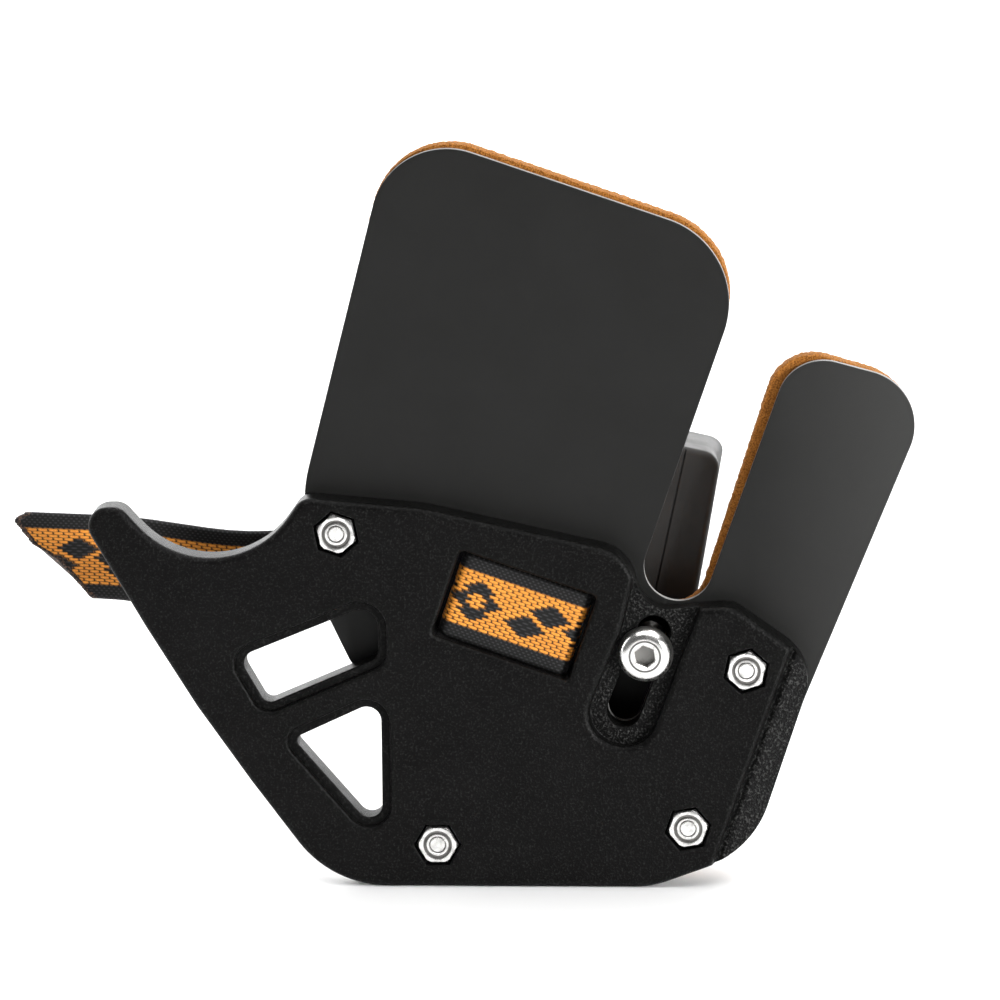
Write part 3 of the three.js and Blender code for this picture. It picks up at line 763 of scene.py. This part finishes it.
def add_nap(piece, outline, front, rear, per_mm, lowest):
    """Small closed fibres standing out of the cut edge."""
    chance = random.Random(11)
    edit = bmesh.new()
    edit.from_mesh(piece.data)
    for point, out in outline:
        if point.y < lowest:
            continue
        for _ in range(per_mm):
            y = chance.uniform(front + 0.1, rear - 0.1)
            length = chance.uniform(0.1, 0.34)
            lean = Vector((chance.gauss(0, 0.5), chance.gauss(0, 0.45), chance.gauss(0, 0.5)))
            heading = (Vector((out.x, 0, out.y)) + lean).normalized()
            across = heading.orthogonal().normalized()
            root = Vector((point.x - out.x * 0.12, y, point.y - out.y * 0.12))
            ring = []
            for k in range(3):
                spoke = Quaternion(heading, math.radians(120 * k)) @ across
                ring.append(edit.verts.new(design(*(root + spoke * 0.028))))
            tip = edit.verts.new(design(*(root + heading * (length + 0.12))))
            edit.faces.new(list(reversed(ring)))
            for k in range(3):
                edit.faces.new((ring[k], ring[(k + 1) % 3], tip))
    edit.to_mesh(piece.data)
    edit.free()


def nap_points(lobes, side):
    """Places along the outline for fibres, on one side of the finger slot's axis."""
    u = unit(LOBE_AXIS)
    middle = Vector(FINGER_SLOT)
    line = resampled(rounded(leather_outline(lobes)), 0.2)
    sign = 1 if side == "index" else -1
    return [(p, out) for p, out in line if (p - middle).dot(right_of(u)) * sign > 0.4]


def suede_backing():
    front, rear = depths("backing_root")
    steps = 8
    layers = [(front + (rear - front) * k / steps, 0.12 if k in (0, steps) else 0)
              for k in range(steps + 1)]
    slot = slot_corners(SLOT["radius"] + 0.2, 0.9)
    pieces = leather_pieces("suede_backing", BACKING_LOBES, layers, 0.3, slot)
    for side, piece in pieces.items():
        flex, lobe = FLEXES[side]
        creased(piece, flex)
        frayed(piece, 0.16, 0.45)
        piece.data.materials.clear()
        piece.data.materials.append(SUEDE)
        add_nap(piece, nap_points(BACKING_LOBES, side), front, rear, 1, flex["z"] - 14)
        smooth(piece, 50)
        bending(piece)
        replaced = [f"backing_{side}_flap"] + (["backing_root"] if side == "wide" else [])
        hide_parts(*replaced)


# ------------------------------------------------------------------ back plate

def back_plate():
    front, rear = depths("back_plate")
    edge = [(y, inset) for y, inset in edge_layers(0, 0.6, 5)]
    layers = [(front, 0.2), (front + 0.2, 0)]
    layers += [(rear - y, inset) for y, inset in reversed(edge)]
    body = layered("back_plate_moulding", rounded(BACK_OUTLINE), layers, PLASTIC)
    anchor = oblong(*strap_point(ANCHOR["t"]), STRAP["angle"], STRAP_SLOT["width"],
                    STRAP_SLOT["height"], STRAP_SLOT["radius"])
    pocket_length = ANCHOR["end"] - ANCHOR["t"] + 1.8
    pocket = oblong(*strap_point((ANCHOR["t"] + ANCHOR["end"]) / 2), STRAP["angle"], pocket_length,
                    STRAP_SLOT["height"] - 0.4, 0.5)
    tools = [
        slab("anchor", anchor, front - 1, rear + 1),
        slab("pocket", pocket, front - 1, front + STRAP["thick"] + 0.3),
        slab("spacer slot", slot_corners(SLOT["radius"], 2 * KEY_BELOW), front - 1, rear + 1),
        *strap_slots(front - 1, rear + 1),
        *bolt_holes(front - 1, rear + 1),
    ]
    combined(body, tools)
    smooth(body)
    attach(body, "tab_body")
    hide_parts("back_plate")


# ------------------------------------------------------------------ fasteners

def thread(radius, depth, pitch, front, rear, turns):
    """Ridges along a shank, from front towards rear, then a plain stretch."""
    profile = []
    y = front
    for _ in range(turns):
        profile += [(radius - depth, y), (radius, y + pitch * 0.4), (radius, y + pitch * 0.6)]
        y += pitch
    return profile + [(radius - depth, y), (radius - depth, rear)]


def paint_shade(piece, x, z, inner, outer, deeper=None):
    """Paints shade: gives its second material, the dark steel, to a ring about (x, z) and to everything
    deeper than y.
    """
    middle = design(x, 0, z)
    mesh = piece.data
    for polygon in mesh.polygons:
        corners = [mesh.vertices[i].co - middle for i in polygon.vertices]
        spans = [math.hypot(corner.x, corner.z) / MM for corner in corners]
        ring = inner < min(spans) and max(spans) < outer
        low = deeper is not None and min(corner.y for corner in corners) / MM > deeper
        polygon.material_index = 1 if ring or low else 0


def clamp_nut(place):
    """M2.5 nut: a flat face with a sunk ring between the rim and the thread."""
    x, z, turn = NUTS[place]
    name = "clamp_nut_" + place
    front, rear = depths(name)
    face = front + 0.25
    hexed = layered("nut_" + place, rounded(hexagon(x, z, NUT["flats"], turn, 0.12)),
                    [(face - 0.3, 0.35), (face + 0.2, 0), (rear + 1, 0)], STEEL, STEEL_PAINTED_SHADE)
    lathed = turned("lathed", [
        (1.1, face), (1.5, face), (1.58, face + 0.03), (1.68, face + 0.22), (1.82, face + 0.22),
        (1.9, face + 0.03), (1.97, face), (2.42, face), (2.56, face + 0.05), (3.0, face + 0.5),
        (3.0, rear - 0.3), (2.6, rear),
    ], x, z, 96)
    bore = turned("bore", [(1.24, front - 1), (1.24, face), (1.16, face + 0.08), (1.16, rear + 1)], x, z)
    combined(hexed, [lathed], "INTERSECT")
    combined(hexed, [bore])
    # Painted shade on the sunk ring and on the sides behind the nut's face.
    paint_shade(hexed, x, z, 1.49, 1.98, face + 0.06)
    smooth(hexed, 25)
    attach(hexed, "tab_body")
    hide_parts(name)


def clamp_screw(place):
    x, z, turn = NUTS[place]
    name = "clamp_screw_" + place
    front, rear = depths(name)
    under = rear - 1.6
    shank = BOLT["shank"]
    head = 2.35
    tip = depths("clamp_nut_" + place)[0] + 0.2
    profile = [(0.9, tip), (0.96, tip + 0.02), (1.04, tip + 0.12)]
    profile += thread(1.1, 0.1, 0.45, tip + 0.14, tip + 2.0, 4)
    profile += [(shank, tip + 2.1), (shank, under)]
    profile += [(head - 0.08, under), (head, under + 0.08)]
    for k in range(9):
        lean = math.pi / 2 * k / 8
        profile.append((head * (0.35 + 0.65 * math.cos(lean)), rear - 0.75 + 0.75 * math.sin(lean)))
    screw = turned("screw_" + place, profile, x, z, 64, STEEL)
    arms = [
        slab("cross", oblong(x, z, turn + angle, 2.6, 0.6, 0.12), rear - 0.9, rear + 1)
        for angle in (45, 135)
    ]
    combined(screw, arms)
    smooth(screw, 30)
    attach(screw, "tab_body")
    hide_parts(name)


def spacer_screw():
    """M4 button head: a domed head with a ring groove round its hex socket."""
    front, rear = depths("spacer_screw")
    head, shank, height = 3.78, 2.0, 2.2
    seat = front + height
    profile = []
    for k in range(15):
        lean = math.pi / 2.2 * k / 14
        radius = head * (0.6 + 0.4 * math.sin(lean) / math.sin(math.pi / 2.2))
        profile.append((radius, front + (height - 0.35) * (1 - math.cos(lean))))
    profile += [(head, seat - 0.12), (head - 0.1, seat), (shank, seat)]
    profile += thread(shank, 0.25, 0.7, seat + 1, rear - 0.4, 20)
    profile.append((shank - 0.6, rear))
    screw = turned("button_head", profile, *SCREW, 96, STEEL, STEEL_PAINTED_SHADE)
    socket = layered("socket", rounded(hexagon(*SCREW, 2.62, 38, 0.08)),
                     [(front - 1, -0.13), (front, -0.13), (front + 0.12, 0), (front + 1.3, 0)])
    groove = rod("groove", 2.21, front - 1, front + 0.2, *SCREW)
    combined(groove, [rod("groove", 1.95, front - 2, front + 1, *SCREW)])
    combined(screw, [socket, groove])
    # Painted shade on the ring groove, the socket's floor, the dome's outer rim and the thread behind
    # it.
    paint_shade(screw, *SCREW, 1.94, 2.22, front + 0.8)
    smooth(screw, 25)
    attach(screw, "spacer_clamp")
    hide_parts("spacer_screw")


# ------------------------------------------------------------------ finger spacer

def spacer_point(s, w):
    u = unit(SPACER["angle"])
    return SCREW + u * s + right_of(u) * w


def spacer_grip():
    """Rubber bar, waisted on the sides where the fingers lie, its ends nearly flat."""
    front, rear = depths("spacer_grip")
    bottom, top = SPACER["bottom"], SPACER["top"]
    low, high = SPACER["low_half"], SPACER["top_half"]
    corners = SPACER_CORNERS
    outline = rounded([
        (*spacer_point(bottom, -low), corners["low"]),
        (*spacer_point(bottom, low), corners["low"]),
        (*spacer_point(corners["shoulder"], low), corners["shoulder_bend"]),
        (*spacer_point(top, high), corners["top"]),
        (*spacer_point(top, -high), corners["top"]),
        (*spacer_point(corners["shoulder"], -low), corners["shoulder_bend"]),
    ])
    length = rear - front
    axis = unit(SPACER["angle"])
    steps = 40
    vertices = []
    for k in range(steps + 1):
        part = (1 - math.cos(math.pi * k / steps)) / 2
        depth = length * part
        waist = 0.8 * math.sin(math.pi * part) ** 2
        slope = 0.75 * part
        for point, out in outline:
            end = abs(out.dot(axis)) ** 1.5
            inset = waist * (1 - end) + slope * end
            front_round = max(0.0, 1 - depth / 1.1)
            rear_round = max(0.0, 1 - (length - depth) / 1.6)
            inset += 1.0 * (1 - math.sqrt(1 - front_round ** 2))
            inset += 1.5 * (1 - math.sqrt(1 - rear_round ** 2))
            vertices.append((point.x - out.x * inset, front + depth, point.y - out.y * inset))
    count = len(outline)
    faces = []
    for i in range(steps):
        for k in range(count):
            a = i * count + k
            b = i * count + (k + 1) % count
            faces.append((a, a + count, b + count, b))
    faces.append(tuple(range(count)))
    faces.append(tuple(steps * count + k for k in reversed(range(count))))
    grip = new_piece("spacer_rubber_grip", vertices, faces, RUBBER)
    line = slab("moulding line", [
        (*spacer_point(bottom - 1, -0.65), 0), (*spacer_point(bottom - 1, -0.4), 0),
        (*spacer_point(top + 1, -0.4), 0), (*spacer_point(top + 1, -0.65), 0),
    ], front - 1, front + 0.35)
    bore = rod("bore", 2.6, front - 1, front + 11, *SCREW)
    combined(grip, [line, bore])
    smooth(grip, 35)
    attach(grip, "finger_spacer")
    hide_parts("spacer_grip")


# ------------------------------------------------------------------ strap

GRAIN_PITCH = 1.46  # of the orange yarn along a row
ROW = 0.408  # height of a row
BAND_HALF = 3.88  # half of the orange band
ACROSS_STEPS = 3  # grid steps in a row
ALONG_STEP = GRAIN_PITCH / 6
TAIL_HALF = 5.85


def walked(samples, step):
    """Places at equal steps along an open line: (distance, point, vector to its right)."""
    places = []
    travelled = 0.0
    wanted = 0.0
    for (a, a_out), (b, b_out) in zip(samples, samples[1:]):
        length = (b - a).length
        while wanted <= travelled + length and length > 0:
            part = (wanted - travelled) / length
            places.append((wanted, a.lerp(b, part), a_out.lerp(b_out, part).normalized()))
            wanted += step
        travelled += length
    return places


def strap_rows():
    """Places n across the strap, from one edge to the other."""
    rows = []
    count = round(2 * BAND_HALF / ROW)
    margin = STRAP["width"] / 2 - BAND_HALF
    margin_rows = 6
    for k in range(margin_rows * ACROSS_STEPS):
        rows.append(-STRAP["width"] / 2 + margin * k / (margin_rows * ACROSS_STEPS))
    for k in range(count * ACROSS_STEPS):
        rows.append(-BAND_HALF + 2 * BAND_HALF * k / (count * ACROSS_STEPS))
    for k in range(margin_rows * ACROSS_STEPS + 1):
        rows.append(BAND_HALF + margin * k / (margin_rows * ACROSS_STEPS))
    return rows


def motif(column, row):
    """True inside the strap's black figures: a stepped diamond with an open centre and two small solid
    ones.
    """
    period = 22
    place = column % period
    big = abs(place - 5) / 4.6 + abs(row) / 7.5
    upper = abs(place - 13) / 3.2 + abs(row - 3) / 4.6
    lower = abs(place - 17) / 3.2 + abs(row + 3) / 4.6
    return 0.4 < big < 1 or upper < 1 or lower < 1


def weave(s, n):
    """(relief from 0 to 1, yarn: 1 orange, 0 black) at s along and n across the strap."""
    if abs(n) > BAND_HALF:
        margin_row = (abs(n) - BAND_HALF) / 0.353
        u = (s / (GRAIN_PITCH / 2) + 0.5 * (int(margin_row + 0.01) % 2)) % 1
        v = margin_row % 1
        return 0.75 * math.sin(math.pi * u) * (0.4 + 0.6 * math.sin(math.pi * v)), 0.0
    place = (n + BAND_HALF) / ROW + 0.01
    row = int(place)
    v = place - row
    shifted = s / GRAIN_PITCH + 0.5 * (row % 2)
    u = shifted % 1
    across = (u - 0.45) / 0.43
    along = max(0.0, 1 - across * across)
    relief = math.sqrt(along) * math.sin(math.pi * v) ** 0.6 if 0 < v < 1 else 0.0
    column = 2 * int(shifted) - (row % 2)
    black = motif(column, row - 9)
    return relief * (0.7 if black else 1.0), 0.0 if black else 1.0


def strap_path():
    """Middle of the strap up to the tail's hinge: samples in the strap's (t, y) plane."""
    clamped = depths("back_plate")[0] + STRAP["thick"] / 2 + 0.1
    loop = FINGER_LOOP
    return rounded([
        (ANCHOR["end"], clamped),
        (ANCHOR["t"], clamped, STRAP_BEND),
        (ANCHOR["t"], ANCHOR["rise"], ANCHOR["bend"]),
        (loop["left"], loop["rear"], loop["radius"]),
        (loop["right"], loop["rear"], loop["radius"]),
        (STRAP_TURN, STRAP_MIDDLE_Y, STRAP_BEND),
        (-STRAP_TURN, STRAP_MIDDLE_Y, STRAP_BEND),
        (-STRAP_TURN, STRAP_EXIT_Y, STRAP_BEND),
        (TAIL_HINGE_T, STRAP_EXIT_Y),
    ], closed=False)


TAIL_MIDDLE = [(-15.5, 43.4, 16), (-33, 39.2, 50), (-53.5, 42.25, 60), (-72, 43.0)]
TAIL_CUT = [(-6.0, -58.0), (-0.6, -62.6), (1.6, -66.1), (4.9, -68.6), (6.0, -66.9)]


def cut_x(n):
    """Where the slanted cut meets the strap at n across it."""
    for (n0, x0), (n1, x1) in zip(TAIL_CUT, TAIL_CUT[1:]):
        if n <= n1:
            return x0 + (x1 - x0) * (n - n0) / (n1 - n0)
    return TAIL_CUT[-1][1]


def strap_places():
    """Every column of the strap: (distance, function of n and lift giving the point)."""
    columns = []
    path = walked(strap_path(), ALONG_STEP)
    for s, point, out in path:
        def place(n, lift, point=point, out=out):
            t = point.x - out.x * lift
            flat = strap_point(t, n)
            return (flat.x, point.y - out.y * lift, flat.y)
        columns.append((s, place, None))
    begin = len(path) * ALONG_STEP
    start = strap_point(TAIL_HINGE_T)
    tail = walked(rounded([(*start,)] + TAIL_MIDDLE, closed=False), ALONG_STEP)
    for s, point, out in tail:
        def place(n, lift, point=point, out=out):
            side = point + out * n * (TAIL_HALF / 6)
            return (side.x, STRAP_EXIT_Y - lift, side.y)
        columns.append((begin + s, place, point))
    return columns


def strap():
    rows = strap_rows()
    columns = strap_places()
    half = STRAP["thick"] / 2
    core = half - 0.13
    vertices, reliefs, yarns, melts = [], [], [], []

    def put(point, relief, yarn, melt):
        vertices.append(point)
        reliefs.append(relief)
        yarns.append(yarn)
        melts.append(melt)

    limits = []
    for n in rows:
        wanted = cut_x(n)
        reach = columns[-1][0]
        for s, place, middle in columns:
            if middle is not None and place(n, 0)[0] <= wanted:
                reach = s
                break
        limits.append(reach)
    by_distance = {round(s / ALONG_STEP): place for s, place, _ in columns}
    for s, place, middle in columns:
        for face in (1, -1):
            order = range(len(rows)) if face == 1 else reversed(range(len(rows)))
            for i in order:
                n = rows[i]
                here = place
                near = limits[i] - s
                if near < 0:
                    here = by_distance[round(limits[i] / ALONG_STEP)]
                relief, yarn = weave(s if face == 1 else s + GRAIN_PITCH / 4, n)
                melt = 0.0
                if middle is not None and near < 0.8:
                    melt = 1.0
                    relief = 0.5 + 1.1 * max(0.0, near) * (0.8 - max(0.0, near)) / 0.16
                edge = 1 - 0.55 * max(0.0, (abs(n) - 5.55) / 0.45) ** 2
                lift = face * (core * edge + 0.13 * relief * edge)
                scallop = 0.0
                if i in (0, len(rows) - 1):
                    scallop = 0.17 * abs(math.sin(math.pi * s / (GRAIN_PITCH / 2))) - 0.08
                put(here(n + math.copysign(scallop, n), lift), relief, yarn, melt)
    ring = 2 * len(rows)
    count = len(columns)
    faces = []
    for c in range(count - 1):
        for k in range(ring):
            a = c * ring + k
            b = c * ring + (k + 1) % ring
            faces.append((a, b, b + ring, a + ring))
    faces.append(tuple(reversed(range(ring))))
    faces.append(tuple((count - 1) * ring + k for k in range(ring)))
    piece = new_piece("finger_strap", vertices, faces, WEBBING)
    for name, values in (("relief", reliefs), ("yarn", yarns), ("melt", melts)):
        attribute = piece.data.attributes.new(name, "FLOAT", "POINT")
        attribute.data.foreach_set("value", values)
    edit = bmesh.new()
    edit.from_mesh(piece.data)
    bmesh.ops.remove_doubles(edit, verts=edit.verts[:], dist=0.002 * MM)
    bmesh.ops.recalc_face_normals(edit, faces=edit.faces[:])
    edit.to_mesh(piece.data)
    edit.free()
    piece.data.shade_smooth()
    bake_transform(piece)
    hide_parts("strap_band", "strap_loop", "strap_tail")


def hidden_pieces():
    """The spacer's core and insert keep their solids inside the rubber."""
    looks = {"spacer_core": PLASTIC, "spacer_insert": BRASS}
    for name, material in looks.items():
        nodes[name].data.materials.clear()
        nodes[name].data.materials.append(material)


string_face()
suede_backing()
back_plate()
for place in NUTS:
    clamp_nut(place)
    clamp_screw(place)
spacer_screw()
spacer_grip()
strap()
hidden_pieces()


# ------------------------------------------------------------------ stage, light and camera

def stage():
    """A pale floor that rises into a backdrop."""
    width, front, rear, height, radius = 6.0, -1.6, 1.6, 3.0, 0.9
    profile = [(front, 0.0)]
    for k in range(25):
        a = math.pi / 2 * k / 24
        profile.append((rear - radius + radius * math.sin(a), radius * (1 - math.cos(a))))
    profile.append((rear, height))
    mesh = bpy.data.meshes.new("floor")
    vertices = [(x, y, z) for x in (-width / 2, width / 2) for y, z in profile]
    count = len(profile)
    faces = [(k, count + k, count + k + 1, k + 1) for k in range(count - 1)]
    mesh.from_pydata(vertices, [], faces)
    mesh.shade_smooth()
    material, shader = shader_of("floor", roughness=0.5, specular=0.3, color=(0.93, 0.93, 0.93, 1))
    mesh.materials.append(material)
    floor = bpy.data.objects.new("floor", mesh)
    bpy.context.scene.collection.objects.link(floor)


def softbox(name, place, target, size, power, spread):
    light = bpy.data.lights.new(name, "AREA")
    light.shape = "RECTANGLE"
    light.size, light.size_y = size
    light.energy = power
    light.spread = math.radians(spread)
    lamp = bpy.data.objects.new(name, light)
    lamp.location = place
    lamp.rotation_mode = "QUATERNION"
    lamp.rotation_quaternion = (Vector(target) - Vector(place)).to_track_quat("-Z", "Y")
    bpy.context.scene.collection.objects.link(lamp)
    return lamp


def lights():
    middle = (0, 0, 0.05)
    softbox("top", (0.1, 0.0, 0.75), (0.0, 0.0, 0.0), (1.0, 0.9), 8.5, 180)
    softbox("left", (-0.75, 0.05, 0.3), middle, (0.35, 0.6), 1.2, 110)
    softbox("key", (0.62, -0.5, 0.2), middle, (0.22, 0.3), 1.0, 60)
    softbox("backdrop", (0.0, 0.7, 0.9), (0, 1.6, 0.4), (2.2, 0.5), 60, 180)
    world = bpy.data.worlds.new("studio")
    world.use_nodes = True
    background = world.node_tree.nodes["Background"]
    background.inputs["Color"].default_value = (1, 1, 1, 1)
    background.inputs["Strength"].default_value = 0.1
    bpy.context.scene.world = world


def camera():
    """Long lens, a little above and to the right of the plate's axis."""
    azimuth, elevation, roll = math.radians(4.4), math.radians(11.5), math.radians(-0.88)
    distance, width = 0.83, 0.1351
    back = Vector((
        math.sin(azimuth) * math.cos(elevation),
        -math.cos(azimuth) * math.cos(elevation),
        math.sin(elevation),
    ))
    data = bpy.data.cameras.new("camera")
    data.sensor_width = 36
    data.lens = data.sensor_width * distance / width
    data.clip_start, data.clip_end = 0.05, 20
    eye = bpy.data.objects.new("camera", data)
    eye.location = design(0, 0, 53.5) + back * distance
    eye.rotation_mode = "QUATERNION"
    turn = Quaternion((0, 0, 1), roll)
    eye.rotation_quaternion = (-back).to_track_quat("-Z", "Y") @ turn
    bpy.context.scene.collection.objects.link(eye)
    bpy.context.scene.camera = eye


stage()
lights()
camera()
bpy.context.scene.view_settings.view_transform = "Standard"
